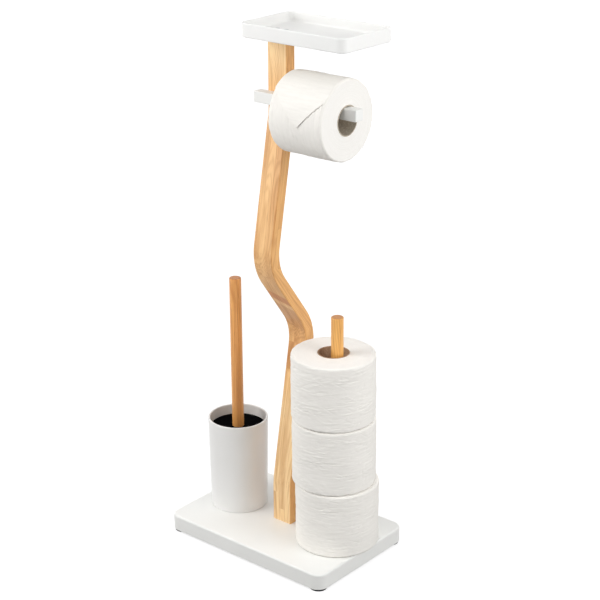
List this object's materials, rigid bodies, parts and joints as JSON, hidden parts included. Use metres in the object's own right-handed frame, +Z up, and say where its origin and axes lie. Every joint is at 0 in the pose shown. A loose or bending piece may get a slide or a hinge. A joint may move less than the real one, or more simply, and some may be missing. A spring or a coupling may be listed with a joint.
{
  "type": "toilet roll storage holder",
  "caption": "Free-standing holder: a zigzag wooden post on a slab base carries a shallow tray and a roll bar, with a rod of stacked spare rolls and a brush in a cup beside it.",
  "frame": {"origin": "middle of the base's footprint, on the floor under its rubber feet", "axes": "+X along the base's long side towards the spare rolls, +Y towards the back, away from the bar's side of the post, +Z up"},
  "size_m": [0.3085, 0.2, 0.794],
  "materials": {
    "white_lacquer": "fibreboard under a smooth satin white lacquer",
    "white_plastic": "smooth satin white moulding",
    "pale_wood": "laminated pale bamboo under a satin oil",
    "rod_wood": "pale turned wood, satin",
    "handle_wood": "reddish turned wood, satin",
    "foot_rubber": "matt black rubber",
    "zinc_steel": "zinc-plated steel",
    "insert_brass": "turned brass",
    "cup_plastic": "smooth white, half gloss",
    "black_plastic": "matt black moulding",
    "bristle_plastic": "black nylon bristles",
    "tissue_paper": "soft unprinted tissue",
    "cardboard": "plain grey-beige board"
  },
  "bodies": {
    "stand": {"base_slab": "white_lacquer", "rubber_feet": "foot_rubber", "post": "pale_wood", "post_bolts": "zinc_steel", "post_inserts": "insert_brass", "tray": "white_plastic", "tray_screws": "zinc_steel", "roll_bar": "white_lacquer", "bar_screws": "zinc_steel", "spare_rod": "rod_wood", "rod_bolt": "zinc_steel", "rod_insert": "insert_brass"},
    "cup": {"brush_cup": "cup_plastic"},
    "toilet_brush": {"brush_handle": "handle_wood", "handle_stud": "zinc_steel", "splash_collar": "black_plastic", "brush_core": "black_plastic", "bristles": "bristle_plastic"},
    "bottom_roll": {"bottom_roll_paper": "tissue_paper", "bottom_roll_core": "cardboard"},
    "middle_roll": {"middle_roll_paper": "tissue_paper", "middle_roll_core": "cardboard"},
    "top_roll": {"top_roll_paper": "tissue_paper", "top_roll_core": "cardboard"},
    "hanging_roll": {"hanging_roll_paper": "tissue_paper", "hanging_roll_core": "cardboard"}
  },
  "joints": [
    {"name": "cup_lift", "type": "slide", "parent": "stand", "child": "cup", "axis": [0, 0, 1], "range_m": [0, 0.15]},
    {"name": "brush_lift", "type": "slide", "parent": "cup", "child": "toilet_brush", "axis": [0, 0, 1], "range_m": [0, 0.16]},
    {"name": "bottom_roll_lift", "type": "slide", "parent": "stand", "child": "bottom_roll", "axis": [0, 0, 1], "range_m": [0, 0.06]},
    {"name": "middle_roll_lift", "type": "slide", "parent": "bottom_roll", "child": "middle_roll", "axis": [0, 0, 1], "range_m": [0, 0.06]},
    {"name": "top_roll_lift", "type": "slide", "parent": "middle_roll", "child": "top_roll", "axis": [0, 0, 1], "range_m": [0, 0.16]},
    {"name": "hanging_roll_turn", "type": "hinge", "parent": "stand", "child": "hanging_roll", "pos_m": [0.084, -0.017, 0.67659], "axis": [1, 0, 0], "continuous": true}
  ]
}
